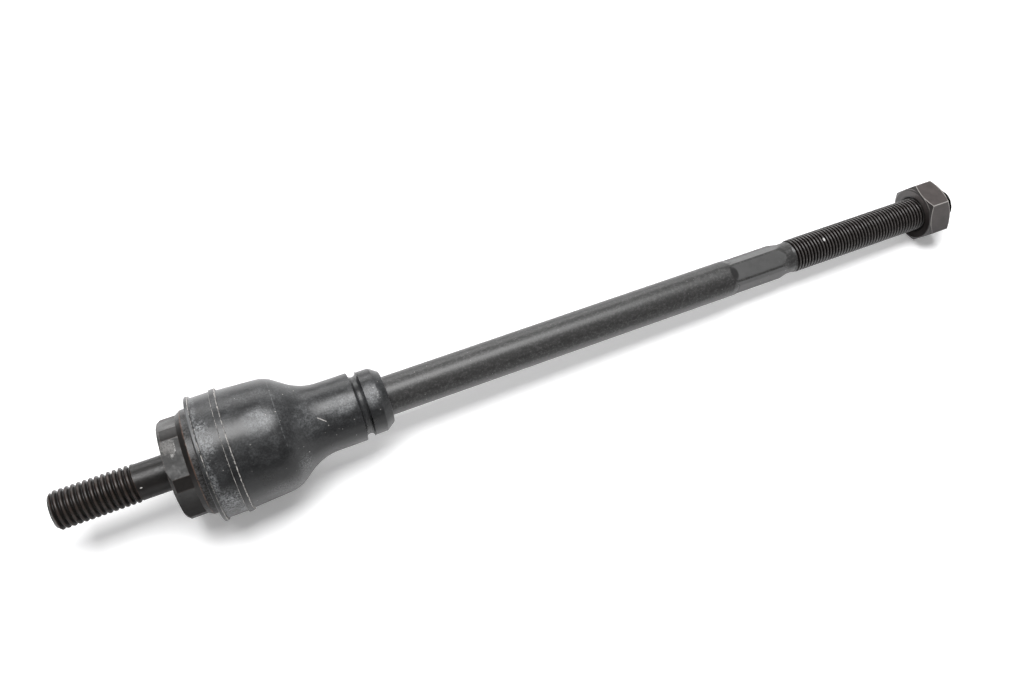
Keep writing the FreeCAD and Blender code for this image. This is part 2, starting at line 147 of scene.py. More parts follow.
# Tints of films, wear and marks, and of a painted highlight
FLANGE_FILM = (0.095, 0.096, 0.098)
CREST_HIGHLIGHT = (0.085, 0.078, 0.075)
RUBBED_EDGE = (0.20, 0.195, 0.19)
FRESH_STEEL = (0.70, 0.68, 0.66)
PALE_SPECK = (0.62, 0.61, 0.60)
GREASE = (0.55, 0.45, 0.28)


# Property groups

def length(name, what, default):
    """A property for a length that is given in millimetres."""
    return FloatProperty(name=name, description=what, default=default * MM,
                         unit="LENGTH", precision=5)


def colour(name, what, default):
    """A property for a colour, as linear red, green and blue."""
    return FloatVectorProperty(name=name, description=what, default=default,
                               subtype="COLOR", size=3, min=0.0, max=1.0)


class ThreadSettings(bpy.types.PropertyGroup):
    """Sizes of the two rolled threads and how finely the pieces are divided."""
    stud_pitch: length("Stud pitch", "Pitch of the rack stud's thread", 2.0)
    outer_pitch: length("Outer pitch", "Pitch of the outer thread", 1.5)
    thread_steps: IntProperty(
        name="Thread steps", description="Points round one turn of a thread", default=72)
    turned_steps: IntProperty(
        name="Turned steps", description="Points round a turned surface", default=160)


class FinishSettings(bpy.types.PropertyGroup):
    """Colours of the finishes."""
    forging: colour("Forging", "Dark phosphated steel of stud and collar",
                    (0.0080, 0.0068, 0.0062))
    # Also gives, 3.6 times lighter, the painted highlight on the collar's upper rear flats
    milled: colour("Milled flats", "Lighter steel of the collar's milled flats",
                   (0.022, 0.0215, 0.021))
    rod: colour("Rod", "Grey phosphated steel of the rod", (0.0300, 0.0295, 0.0292))
    wrench: colour("Wrench flats", "Lighter steel of the wrench flats",
                   (0.075, 0.075, 0.075))
    thread: colour("Thread", "Oiled dark steel of the outer thread",
                   (0.0060, 0.0048, 0.0044))
    nut: colour("Nut", "Dark grey steel of the jam nut", (0.068, 0.058, 0.056))
    worn: colour("Worn steel", "Bare steel where the dark finish is rubbed off",
                 (0.46, 0.44, 0.42))
    brown: colour("Edge stain", "Thin brown line along the forging's edges",
                  (0.160, 0.095, 0.070))
    rubber: colour("Rubber", "Black rubber of the boot", (0.0095, 0.0097, 0.0103))
    # This pale colour is used for the dusty patches on the boot and also for its painted
    # highlights
    dust_and_highlight: colour("Dust", "Pale dust on the rubber", (0.40, 0.41, 0.42))
    chalk: colour("Chalk", "Chalky rubbed lines and specks on the rubber",
                  (0.66, 0.63, 0.60))
    bearing: colour("Bearing", "Natural plastic of the ball's bearing",
                    (0.78, 0.75, 0.66))
    floor: colour("Floor", "Pale studio floor", (0.90, 0.90, 0.905))


class StageSettings(bpy.types.PropertyGroup):
    """Camera, lights and floor."""
    camera_place: FloatVectorProperty(
        name="Camera place", description="Where the camera stands",
        default=(0.0454, -0.174, 0.3016), subtype="TRANSLATION", unit="LENGTH", size=3)
    camera_turn: FloatVectorProperty(
        name="Camera turn", description="Rotation of the camera",
        default=(0.5823, -0.0307, -0.4076), subtype="EULER", unit="ROTATION", size=3)
    camera_lens: FloatProperty(
        name="Focal length", description="Focal length of the camera in millimetres",
        default=32.52)
    floor_slope: FloatProperty(
        name="Floor slope", description="Slope of the floor below the lying part",
        default=math.atan(12.32 / 320.1), subtype="ANGLE")
    key_power: FloatProperty(
        name="Overhead light", description="Power of the softbox overhead", default=13.5)
    back_power: FloatProperty(
        name="Rear light", description="Power of the long softbox at the rear", default=7.5)
    sky: FloatProperty(
        name="Room light", description="Strength of the light from all round", default=0.20)
    floor_glow: FloatProperty(
        name="White background", description="White added to the floor for the camera",
        default=0.24)
    shadow_middle: length(
        "Shadow's middle", "Middle of the floor that shows the shadow, from the boot's lip",
        140.0)
    shadow_reach: length(
        "Shadow's reach", "How far the floor shows the shadow in full", 250.0)
    white_reach: length(
        "White from", "How far off the camera sees the floor white", 600.0)


# Mesh tools

def rounded(corners, closed=False, chord=0.6):
    """Points of an outline of (x, radius) or (x, radius, rounding) corners."""
    count = len(corners)
    points = []
    for i, corner in enumerate(corners):
        here = np.array(corner[:2], float)
        radius = corner[2] if len(corner) == 3 else 0.0
        if radius <= 0 or (not closed and i in (0, count - 1)):
            points.append(here)
            continue
        before = np.array(corners[i - 1][:2]) - here
        after = np.array(corners[(i + 1) % count][:2]) - here
        before /= np.linalg.norm(before)
        after /= np.linalg.norm(after)
        opening = math.acos(float(np.clip(before @ after, -1, 1)))
        turn = math.pi - opening
        if turn < 0.01:
            points.append(here)
            continue
        reach = radius / math.tan(opening / 2)
        middle = before + after
        centre = here + middle / np.linalg.norm(middle) * radius / math.sin(opening / 2)
        start, end = here + before * reach - centre, here + after * reach - centre
        steps = max(3, math.ceil(turn * radius / chord))
        for k in range(steps + 1):
            t = k / steps
            a, b = math.sin((1 - t) * turn), math.sin(t * turn)
            points.append(centre + (start * a + end * b) / math.sin(turn))
    return np.array(points)


def divided(points, step, edge=0.12, closed=False):
    """The same outline with points near every corner, and none further apart than step."""
    out = []
    count = len(points)
    for i in range(count if closed else count - 1):
        a, b = points[i], points[(i + 1) % count]
        span = np.linalg.norm(b - a)
        marks = [0.0]
        if span > 4 * edge:
            inner = max(1, math.ceil((span - 2 * edge) / step))
            marks += [(edge + (span - 2 * edge) * k / inner) / span for k in range(inner + 1)]
        out += [a + (b - a) * m for m in marks]
    if not closed:
        out.append(points[-1])
    return np.array(out)


def arc_outline(centre, radius, start, end, step=5.0):
    """Points of an arc in an outline, between two angles in degrees."""
    steps = max(2, math.ceil(abs(end - start) / step))
    angles = np.radians(np.linspace(start, end, steps + 1))
    return np.column_stack([centre + radius * np.cos(angles), radius * np.sin(angles)])


def full_turn(steps):
    """Angles of that many points spread round a circle."""
    return np.linspace(0, 2 * math.pi, steps + 1)[:-1]


def spun(points, angles, radius=None):
    """Grid of places: one ring per outline point. radius(x, r, angles) may change a ring."""
    rings = []
    for k, (x, r) in enumerate(points):
        turn = angles[k] if angles.ndim == 2 else angles
        reach = radius(x, r, turn) if radius else np.full(len(turn), r)
        rings.append(np.column_stack(
            [np.full(len(turn), x), reach * np.cos(turn), reach * np.sin(turn)]))
    return np.array(rings)


def skin(rings, closed=False):
    """Vertices and faces over a grid of rings; each ring closes on itself."""
    count, around = rings.shape[:2]
    faces = []
    for i in range(count if closed else count - 1):
        k = (i + 1) % count
        for j in range(around):
            m = (j + 1) % around
            faces.append((i * around + j, k * around + j, k * around + m, i * around + m))
    return rings.reshape(-1, 3), faces


# Half of a rolled thread's section, from its narrow root up to its broad round crest:
# fraction of the pitch, fraction of the depth
THREAD_SECTION = [(0.0, 0.0), (0.04, 0.02), (0.08, 0.12), (0.26, 0.74), (0.31, 0.88),
                  (0.37, 0.96), (0.44, 0.995), (0.5, 1.0)]
THREAD_DEPTH = 0.5413


def thread(free_end, shank_end, crest, shank, pitch, around, chamfer, run_out):
    """A right-hand thread whose grid follows its helix: chamfered at its free end, and
    dying out over run_out where it meets the plain shank."""
    root = crest - THREAD_DEPTH * pitch
    section = THREAD_SECTION + [(1 - t, h) for t, h in THREAD_SECTION[-2:0:-1]]
    start, end = min(free_end, shank_end), max(free_end, shank_end)
    turns = math.ceil((end - start) / pitch) + 2
    per = len(section)
    angles = full_turn(around)
    rows = []
    # The rows begin before the thread and end past it, and are clipped to its two ends
    for i in range(turns * per + 1):
        along, height = section[i % per]
        x = start + (i // per + along - 1.5 + angles / (2 * math.pi)) * pitch
        x = np.clip(x, start, end)
        from_free, from_shank = np.abs(x - free_end), np.abs(x - shank_end)
        fade = np.clip(from_shank / run_out, 0, 1)
        r = np.full(around, root + (crest - root) * height)
        r = np.minimum(r, crest - chamfer + from_free)
        r = np.minimum(r, shank + (crest - shank) * fade)
        r = np.maximum(r, shank + (root - shank) * fade**0.7)
        r = np.where(from_shank < 1e-6, shank, r)
        rows.append(np.column_stack([x, r * np.cos(angles), r * np.sin(angles)]))
    faces = []
    for i in range(len(rows) - 1):
        for j in range(around):
            if j < around - 1:
                a, b = i * around + j + 1, (i + 1) * around + j + 1
            elif i + 1 + per < len(rows):
                a, b = (i + per) * around, (i + 1 + per) * around
            else:
                continue
            faces.append((i * around + j, (i + 1) * around + j, b, a))
    return np.concatenate(rows), faces


def threaded_end(free_end, shank_end, shank, pitch, around, chamfer, run_out):
    """Skins of a thread and of the flat face at its free end."""
    face = [(free_end, THREAD_RADIUS - chamfer), (free_end, FACE_RING), (free_end, 0.0)]
    return [
        thread(free_end, shank_end, THREAD_RADIUS, shank, pitch, around, chamfer, run_out),
        skin(spun(np.array(face), full_turn(around)))]


def hexagon_grid(points, flat_reach, turn, steps, soft=0.012):
    """Angles of every ring of a hexagon with round corners: lines follow the edges between
    flats and round. flat_reach is half the size across the flats."""
    table = []
    for _, r in points:
        width = min(math.acos(min(1.0, flat_reach / r)), math.pi / 6)
        near = min(soft, width / 3)
        far = min(soft, (math.pi / 6 - width) / 3)
        inner = np.linspace(-width + near, width - near, steps + 1)
        outer = np.linspace(width + far, math.pi / 3 - width - far, steps + 1)
        sector = np.concatenate([[-width], inner, [width], outer])
        table.append(np.concatenate([sector + k * math.pi / 3 for k in range(6)]) + turn)
    return np.array(table)


def flats_radius(flat_reach, turn, floor=None):
    """Radius of a ring with six flats, which lie no deeper than floor(x, off): off is the
    angle from the flat's middle."""
    def radius(x, r, angles):
        off = (angles - turn + math.pi / 6) % (math.pi / 3) - math.pi / 6
        flat = flat_reach / np.cos(off)
        if floor:
            flat = np.maximum(flat, floor(x, off))
        return np.minimum(r, flat)
    return radius


def worn_edges(work):
    """How sharply the surface bends at each vertex, 0 to 1, where it bends outwards."""
    worn = np.zeros(len(work.verts), np.float32)
    for edge in work.edges:
        if len(edge.link_faces) == 2 and edge.is_convex:
            bend = math.degrees(edge.calc_face_angle(0.0))
            value = min(max((bend - WORN_FROM) / WORN_SPAN, 0.0), 1.0)
            for vert in edge.verts:
                worn[vert.index] = max(worn[vert.index], value)
    return worn


def make_piece(name, skins, body, node):
    """One mesh object in metres from several skins, welded, with the values its finish
    reads: worn edges, and each point's place on the part at rest."""
    places, faces = [], []
    for verts, quads in skins:
        start = sum(len(p) for p in places)
        places.append(np.asarray(verts))
        faces += [tuple(v + start for v in face) for face in quads]
    mesh = bpy.data.meshes.new(name)
    mesh.from_pydata((np.concatenate(places) * MM).tolist(), [], faces)
    work = bmesh.new()
    work.from_mesh(mesh)
    bmesh.ops.remove_doubles(work, verts=work.verts, dist=WELD_REACH)
    bmesh.ops.dissolve_degenerate(work, dist=WELD_REACH / 2, edges=work.edges)
    bmesh.ops.recalc_face_normals(work, faces=work.faces)
    work.verts.index_update()
    worn = worn_edges(work)
    work.to_mesh(mesh)
    work.free()
    mesh.attributes.new("worn_edge", "FLOAT", "POINT").data.foreach_set("value", worn)
    rest = np.empty(len(mesh.vertices) * 3, np.float32)
    mesh.vertices.foreach_get("co", rest)
    mesh.attributes.new("rest_place", "FLOAT_VECTOR", "POINT").data.foreach_set("vector", rest)
    mesh.shade_smooth()
    mesh.set_sharp_from_angle(angle=math.radians(SHARP_BEND))
    piece = bpy.data.objects.new(name, mesh)
    bpy.context.scene.collection.objects.link(piece)
    if body:
        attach(piece, body)
    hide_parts(node)
    return piece


# Material tools

class Finish:
    """A procedural material under construction, with short calls for its nodes."""

    def __init__(self, name, base, roughness, ior=1.5):
        self.material = bpy.data.materials.new(name)
        self.material.use_nodes = True
        self.tree = self.material.node_tree
        self.shader = self.tree.nodes["Principled BSDF"]
        self.shader.inputs["Base Color"].default_value = (*base, 1)
        self.shader.inputs["Roughness"].default_value = roughness
        self.shader.inputs["IOR"].default_value = ior
        place = self.tree.nodes.new("ShaderNodeAttribute")
        place.attribute_name = "rest_place"
        self.place = place.outputs["Vector"]
        self.xyz = self.tree.nodes.new("ShaderNodeSeparateXYZ")
        self.link(self.place, self.xyz.inputs[0])

    def link(self, output, socket):
        self.tree.links.new(output, socket)

    def put(self, socket, value):
        """Link a value to a socket, or set the socket where the value is a plain one."""
        if hasattr(value, "is_output"):
            self.link(value, socket)
        else:
            socket.default_value = value

    def math(self, operation, a, b=0.0, c=0.0, clamp=False):
        node = self.tree.nodes.new("ShaderNodeMath")
        node.operation = operation
        node.use_clamp = clamp
        for socket, value in zip(node.inputs, (a, b, c)):
            self.put(socket, value)
        return node.outputs[0]

    def vector(self, operation, a, b=(0, 0, 0)):
        node = self.tree.nodes.new("ShaderNodeVectorMath")
        node.operation = operation
        self.put(node.inputs[0], a)
        self.put(node.inputs[1], b)
        plain = operation in ("LENGTH", "DISTANCE", "DOT_PRODUCT")
        return node.outputs["Value" if plain else "Vector"]

    def noise(self, scale, detail=4.0, rough=0.55, place=None):
        node = self.tree.nodes.new("ShaderNodeTexNoise")
        self.link(place or self.place, node.inputs["Vector"])
        node.inputs["Scale"].default_value = scale
        node.inputs["Detail"].default_value = detail
        node.inputs["Roughness"].default_value = rough
        return node.outputs["Fac"]

    def cells(self, scale):
        """Distance to the middle of the nearest of many scattered cells."""
        node = self.tree.nodes.new("ShaderNodeTexVoronoi")
        self.link(self.place, node.inputs["Vector"])
        node.inputs["Scale"].default_value = scale
        return node.outputs["Distance"]

    def between(self, value, low, high, out_low=0.0, out_high=1.0):
        """Smooth step of a value from out_low at low to out_high at high."""
        node = self.tree.nodes.new("ShaderNodeMapRange")
        node.interpolation_type = "SMOOTHSTEP"
        self.put(node.inputs["Value"], value)
        node.inputs["From Min"].default_value = low
        node.inputs["From Max"].default_value = high
        node.inputs["To Min"].default_value = out_low
        node.inputs["To Max"].default_value = out_high
        return node.outputs["Result"]

    def along(self, axis, low, high, out_low=0.0, out_high=1.0):
        """Smooth step with the place along an axis, in millimetres."""
        return self.between(self.xyz.outputs[axis], low * MM, high * MM, out_low, out_high)

    def around(self, low, high, out_low=0.0, out_high=1.0):
        """Smooth step with the distance from the part's axis, in millimetres."""
        return self.between(self.radius(), low * MM, high * MM, out_low, out_high)

    def band(self, low, high, soft):
        """1 between two places along the part, in millimetres, with soft ends."""
        return self.times(self.along(X, low - soft, low + soft),
                          self.along(X, high - soft, high + soft, 1.0, 0.0))

    def spot(self, centre, reach, soft=0.4):
        """1 within a spot round a place, in millimetres, falling to 0 at its reach."""
        return self.between(self.away(centre, reach), 1.0 - soft, 1.0, 1.0, 0.0)

    def away(self, centre, reach):
        """Distance from a place, 1 at the given reach along each axis, in millimetres."""
        offset = self.vector("SUBTRACT", self.place, Vector(centre) * MM)
        return self.vector("LENGTH", self.vector("DIVIDE", offset, Vector(reach) * MM))

    def line(self, start, end, width, fade=0.3):
        """1 along a straight scratch between two places, in millimetres."""
        start, end = Vector(start), Vector(end)
        way = end - start
        offset = self.vector("SUBTRACT", self.place, start * MM)
        along = self.vector("DOT_PRODUCT", offset, way.normalized())
        foot = self.tree.nodes.new("ShaderNodeVectorMath")
        foot.operation = "SCALE"
        foot.inputs[0].default_value = way.normalized()
        self.link(along, foot.inputs["Scale"])
        side = self.vector("LENGTH", self.vector("SUBTRACT", offset, foot.outputs[0]))
        return self.times(
            self.between(along, -fade * MM, 0.0),
            self.between(along, way.length * MM, (way.length + fade) * MM, 1.0, 0.0),
            self.between(side, width / 2 * MM, width * MM, 1.0, 0.0))

    def radius(self):
        """Distance from the axis, in metres."""
        square = self.math("MULTIPLY", self.xyz.outputs[Y], self.xyz.outputs[Y])
        return self.math("SQRT", self.math(
            "MULTIPLY_ADD", self.xyz.outputs[Z], self.xyz.outputs[Z], square))

    def upward(self):
        """1 on top of the part, 0 at its sides, -1 below it."""
        return self.math("DIVIDE", self.xyz.outputs[Z], self.radius())

    def flank(self, high):
        """1 on the sides of the part, from their middle up to how far up they reach."""
        return self.times(self.between(self.upward(), 0.10, 0.35),
                          self.between(self.upward(), high - 0.25, high, 1.0, 0.0))

    def edges(self):
        """How worn an outer edge is here, 0 to 1."""
        node = self.tree.nodes.new("ShaderNodeAttribute")
        node.attribute_name = "worn_edge"
        return node.outputs["Fac"]

    def times(self, *values):
        """Product of values between 0 and 1."""
        result = values[0]
        for value in values[1:]:
            result = self.math("MULTIPLY", result, value, clamp=True)
        return result

    def most(self, *values):
        """The largest of several values."""
        result = values[0]
        for value in values[1:]:
            result = self.math("MAXIMUM", result, value)
        return result

    def blend(self, amount, a, b):
        """Colour a where amount is 0, and b where it is 1."""
        node = self.tree.nodes.new("ShaderNodeMix")
        node.data_type = "RGBA"
        self.put(node.inputs["Factor"], amount)
        sockets = [s for s in node.inputs if s.type == "RGBA"]
        for socket, value in zip(sockets, (a, b)):
            self.put(socket, value if hasattr(value, "is_output") else (*value, 1))
        return next(s for s in node.outputs if s.type == "RGBA")

    def sheen(self, level):
        """Set how strongly the surface mirrors, 0.5 as its IOR says."""
        self.put(self.shader.inputs["Specular IOR Level"], level)

    def finish(self, base, roughness, heights):
        """Wire colour, roughness and bumps; heights is a list of (value, strength, depth)."""
        self.put(self.shader.inputs["Base Color"], base)
        self.put(self.shader.inputs["Roughness"], roughness)
        normal = None
        for value, strength, depth in heights:
            bump = self.tree.nodes.new("ShaderNodeBump")
            self.link(value, bump.inputs["Height"])
            bump.inputs["Strength"].default_value = strength
            bump.inputs["Distance"].default_value = depth * MM
            if normal:
                self.link(normal, bump.inputs["Normal"])
            normal = bump.outputs["Normal"]
        self.link(normal, self.shader.inputs["Normal"])
        return self.material


def shade(colour_value, factor):
    """A colour made darker or lighter."""
    return tuple(c * factor for c in colour_value)


def forging_finish(settings):
    """Dark phosphated steel: mottled, lighter on the milled flats, brown along its edges,
    with one flat scuffed. Painted shade darkens the lower flats and dims the reflection
    below; a painted highlight lightens the upper flats on the rear side."""
    f = Finish("dark_phosphated_steel", settings.forging, 0.4, 1.47)
    cloud = f.noise(170, 5)
    grain = f.noise(1300, 5, 0.7)
    tone = f.blend(f.between(cloud, 0.3, 0.7), shade(settings.forging, 0.7),
                   shade(settings.forging, 1.6))
    # The milled flats are lighter; painted shade: their lighter colour fades to little on the
    # lower flats
    flats = f.times(f.band(0.1, COLLAR_END - 0.05, 0.05),
                    f.around(COLLAR_RADIUS - 0.18, COLLAR_RADIUS - 0.06, 1.0, 0.0),
                    f.along(Z, 0.0, 8.0, 0.15, 1.0))
    tone = f.blend(f.times(flats, f.between(f.noise(320, 5), 0.25, 0.75, 0.35, 1.0)),
                   tone, tuple(settings.milled))
    # Painted highlight: the upper flats on the rear side are painted much lighter than the
    # milled colour
    top = f.times(flats, f.along(Y, 2.0, 9.0),
                  f.between(f.noise(420, 5, 0.65), 0.34, 0.64, 0.5, 1.0))
    tone = f.blend(top, tone, shade(settings.milled, 3.6))
    crests = f.times(f.around(THREAD_RADIUS - 0.30, THREAD_RADIUS - 0.05),
                     f.band(STUD_END, STUD_END + STUD_THREAD - 1, 0.2),
                     f.between(f.noise(800, 4), 0.3, 0.7))
    tone = f.blend(f.times(crests, 0.22), tone, shade(settings.brown, 0.45))
    film = f.times(f.band(RAMP_END + 0.15, FLANGE_END, 0.1), f.between(grain, 0.35, 0.7))
    tone = f.blend(f.times(film, 0.8), tone, FLANGE_FILM)
    stain = f.most(f.band(RAMP_END - 0.2, RAMP_END + 0.2, 0.2),
                   f.times(f.edges(), f.band(-0.1, 0.3, 0.1)), f.times(f.edges(), 0.5))
    stain = f.times(stain, f.between(f.noise(500, 5, 0.7), 0.36, 0.60, 0.1, 1.0))
    tone = f.blend(f.times(stain, 0.6), tone, tuple(settings.brown))
    rub = f.math("ADD", f.away((2.4, -0.6, 17.5), (2.5, 4.2, 6.0)),
                 f.between(f.noise(420, 4), 0.2, 0.8, -0.35, 0.35))
    rubbed = f.times(f.between(rub, 0.7, 1.0, 1.0, 0.0), flats,
                     f.between(f.noise(1500, 6, 0.75), 0.34, 0.62, 0.2, 1.0))
    tone = f.blend(f.times(rubbed, 0.25), tone, tuple(settings.worn))
    burr = f.times(f.between(rub, 0.86, 0.93), f.between(rub, 0.95, 1.02, 1.0, 0.0),
                   f.band(3.0, 9.0, 0.4), flats, f.between(f.noise(900, 3), 0.42, 0.55),
                   0.45)
    nick = f.spot((-10.7, -5.0, 4.4), (0.55, 0.20, 0.35), 0.5)
    tone = f.blend(f.most(burr, nick), tone, FRESH_STEEL)
    hazy_sheen = f.times(flats, f.between(f.noise(210, 5, 0.65), 0.36, 0.62, 0.0, 0.2))
    rough = f.math("ADD", hazy_sheen, f.between(grain, 0.3, 0.7, 0.30, 0.46))
    # Painted shade: the surface mirrors less the further it faces down
    f.sheen(f.between(f.upward(), 0.1, 0.8, 0.12, 0.5))
    return f.finish(tone, rough, [(cloud, 0.3, 0.08), (grain, 0.5, 0.03),
                                  (rubbed, 0.35, 0.05)])


def rod_finish(settings):
    """Grey phosphated steel of the rod, lighter flats, nearly black thread."""
    f = Finish("grey_phosphated_steel", settings.rod, 0.38, 1.53)
    streak = f.noise(240, 5)
    grain = f.noise(1000, 6, 0.8)
    tone = f.blend(f.between(streak, 0.3, 0.7), shade(settings.rod, 0.92),
                   shade(settings.rod, 1.08))
    tone = f.blend(f.between(grain, 0.46, 0.66, 0.0, 0.7), tone, shade(settings.rod, 3.2))
    along, reach = f.xyz.outputs[X], f.radius()
    fall = (WRENCH_CORNER - RELIEF_RADIUS) / (RELIEF_START - WRENCH_END)
    cone = f.math("MULTIPLY_ADD", f.math("MAXIMUM", f.math(
        "SUBTRACT", along, WRENCH_END * MM), 0.0), fall, reach)
    flats = f.times(f.band(WRENCH_START + 0.6, RELIEF_START, 0.3),
                    f.between(cone, (WRENCH_CORNER - 0.12) * MM,
                              (WRENCH_CORNER - 0.06) * MM, 1.0, 0.0))
    tone = f.blend(f.times(flats, f.between(f.noise(300, 4), 0.2, 0.7, 0.7, 1.0)),
                   tone, tuple(settings.wrench))
    ramp = f.math("MULTIPLY_ADD", along, 1 / WRENCH_RAMP, reach)
    ramp_end = ROD_RADIUS + WRENCH_START / WRENCH_RAMP
    slope = f.times(f.band(WRENCH_START + 0.1, WRENCH_START + 3.6, 0.3),
                    f.between(ramp, (ramp_end + 0.05) * MM, (ramp_end + 0.35) * MM, 1.0, 0.0),
                    f.around(ROD_RADIUS - 0.04, ROD_RADIUS - 0.01, 1.0, 0.0))
    tone = f.blend(slope, tone, shade(settings.rod, 0.8))
    threaded = f.band(RELIEF_END + 0.8, ROD_END + 1, 0.25)
    tone = f.blend(threaded, tone, tuple(settings.thread))
    # Painted highlight: a lighter colour on the outer thread's crests, strongest on top and
    # faint below
    crests = f.times(threaded, f.around(THREAD_RADIUS - 0.20, THREAD_RADIUS - 0.02),
                     f.between(f.upward(), -0.3, 0.5, 0.4, 1.0),
                     f.between(f.noise(700, 4), 0.3, 0.65, 0.5, 1.0))
    tone = f.blend(f.times(crests, 0.8), tone, CREST_HIGHLIGHT)
    plain = f.along(X, RELIEF_END, RELIEF_END + 0.5, 1.0, 0.0)
    edge = f.times(f.edges(), plain, f.between(f.noise(900, 3), 0.35, 0.6))
    tone = f.blend(f.times(edge, 0.4), tone, RUBBED_EDGE)
    specks = f.times(f.between(f.cells(520), 0.0, 0.13, 1.0, 0.0),
                     f.between(f.noise(90, 2), 0.53, 0.62))
    nicks = f.most(f.spot((271.6, -1.7, 6.8), (0.5, 1.0, 0.8), 0.4),
                   f.spot((317.3, 1.0, 6.9), (0.6, 0.3, 0.4), 0.5))
    tone = f.blend(f.most(f.times(specks, 0.6), nicks), tone, PALE_SPECK)
    rough = f.times(f.between(grain, 0.3, 0.7, 0.31, 0.46),
                    f.between(threaded, 0.0, 1.0, 1.0, 0.72))
    # Painted shade: the reflection is turned down in the thread's roots, and halved on the
    # sides where they face partly up
    roots = f.times(threaded, f.around(THREAD_RADIUS - 0.50, THREAD_RADIUS - 0.06, 1.0, 0.0))
    f.sheen(f.times(f.between(roots, 0.0, 1.0, 0.5, 0.06),
                    f.between(f.flank(0.80), 0.0, 1.0, 1.0, 0.5)))
    return f.finish(tone, rough, [(streak, 0.1, 0.03), (grain, 0.6, 0.05)])


def nut_finish(settings):
    """Dark grey steel of the nut, with thin worn lines round its flats, brighter on top as
    painted highlight. Painted shade darkens its chamfers and end faces, its countersinks,
    the lower part of its near face and its lower flats."""
    f = Finish("dark_grey_steel", settings.nut, 0.4, 1.56)
    cloud = f.noise(260, 5)
    grain = f.noise(1400, 5, 0.7)
    tone = f.blend(f.between(cloud, 0.3, 0.7), shade(settings.nut, 0.85),
                   shade(settings.nut, 1.15))
    tone = f.blend(f.between(grain, 0.5, 0.75, 0.0, 0.3), tone, shade(settings.nut, 1.8))
    rim = NUT_SLOPE * NUT_FACE
    slope = f.math("MULTIPLY", f.radius(), NUT_SLOPE)
    along = f.xyz.outputs[X]
    below_chamfer = f.math(
        "MINIMUM",
        f.math("SUBTRACT", f.math("SUBTRACT", along, (NUT_START - rim) * MM), slope),
        f.math("SUBTRACT", f.math("SUBTRACT", (NUT_END + rim) * MM, along), slope))
    # Painted shade: the chamfer cones and end faces are painted much darker
    turned = f.between(below_chamfer, 0.02 * MM, 0.08 * MM, 1.0, 0.0)
    tone = f.blend(turned, tone, shade(settings.nut, 0.3))
    # Painted shade: the lower part of the near end face is painted nearly black, and mirrors
    # little
    up_and_back = (0.0, 0.81, 0.58)
    height = f.vector("DOT_PRODUCT", f.place, up_and_back)
    low = f.times(f.along(X, NUT_START + 0.05, NUT_START + 0.15, 1.0, 0.0),
                  f.between(height, -8 * MM, 7 * MM, 1.0, 0.0))
    tone = f.blend(low, tone, shade(settings.nut, 0.12))
    f.sheen(f.between(low, 0.0, 1.0, 0.5, 0.05))
    # Painted shade: the nut is painted darker towards the bottom
    tone = f.blend(f.along(Z, -3.0, 11.0, 0.8, 0.0), tone, shade(settings.nut, 0.3))
    # Painted shade: the countersinks are painted nearly black
    sink = f.around(NUT_SINK + 0.3, NUT_SINK + 0.7, 1.0, 0.0)
    tone = f.blend(sink, tone, shade(settings.nut, 0.08))
    # Bare steel worn along the edges round the flats, painted brighter on the upper flats as
    # painted highlight and fainter below
    arcs = f.times(f.between(below_chamfer, 0.05 * MM, 0.15 * MM),
                   f.between(below_chamfer, 0.30 * MM, 0.45 * MM, 1.0, 0.0))
    corners = f.around(NUT_CORNER - 0.16, NUT_CORNER - 0.06)
    edge = f.times(f.most(arcs, corners), f.around(NUT_FLAT - 0.20, NUT_FLAT - 0.05),
                   f.along(Z, 1.0, 10.0, 0.35, 1.0),
                   f.between(f.noise(300, 4), 0.30, 0.50, 0.3, 1.0))
    tone = f.blend(f.times(edge, 0.75), tone, tuple(settings.worn))
    rough = f.between(grain, 0.3, 0.7, 0.32, 0.48)
    return f.finish(tone, rough, [(cloud, 0.2, 0.05), (grain, 0.45, 0.018)])


def rubber_finish(settings):
    """Black rubber with a fine grain: a dusty land, a pale dusty film on top that also serves
    as painted highlight, painted highlights on bulb, waist, neck, end ring and lip, broken
    chalky lines along lip and rib, specks, one scratch and the ring of the mould's joint;
    its reflection is turned down on the sides as painted shade."""
    f = Finish("black_rubber", settings.rubber, 0.32, 1.48)
    cloud = f.noise(110, 6)
    fine = f.noise(1100, 6, 0.75)
    grit = f.noise(1500, 5, 0.8)
    tone = f.blend(f.between(cloud, 0.3, 0.7), shade(settings.rubber, 0.75),
                   shade(settings.rubber, 1.5))
    # The pale colour marks the dusty patches and also the painted highlights on the boot
    dust_and_highlight = f.most(*rubber_dust_and_highlights(f, grit))
    tone = f.blend(dust_and_highlight, tone, tuple(settings.dust_and_highlight))
    rims = f.most(f.band(LIP_END - 0.30, LIP_END - 0.08, 0.10),
                  f.band(LAND_END - 0.10, LAND_END + 0.12, 0.07),
                  f.band(RIB_END - 0.16, RIB_END + 0.08, 0.07))
    chalk = f.times(rims, f.between(f.noise(650, 6, 0.8), 0.42, 0.56),
                    f.between(f.noise(140, 3), 0.38, 0.55, 0.4, 1.0))
    specks = f.times(f.between(f.cells(520), 0.0, 0.15, 1.0, 0.0),
                     f.between(f.noise(110, 2), 0.51, 0.60))
    scratch = f.times(f.line((52.85, -6.2, 12.07), (55.18, -7.76, 10.69), 0.18),
                      f.between(f.noise(1200, 2), 0.32, 0.45))
    marks = f.most(chalk, f.times(specks, 0.9), f.times(scratch, 0.8))
    tone = f.blend(marks, tone, tuple(settings.chalk))
    rough = f.math("ADD", f.between(cloud, 0.35, 0.65, 0.27, 0.35),
                   f.times(f.most(dust_and_highlight, marks), 0.4))
    # Painted shade: the reflection is turned down on the sides where they face partly up
    f.sheen(f.between(f.flank(0.85), 0.0, 1.0, 0.5, 0.36))
    return f.finish(tone, rough, [(cloud, 0.15, 0.15), (fine, 0.5, 0.06)])


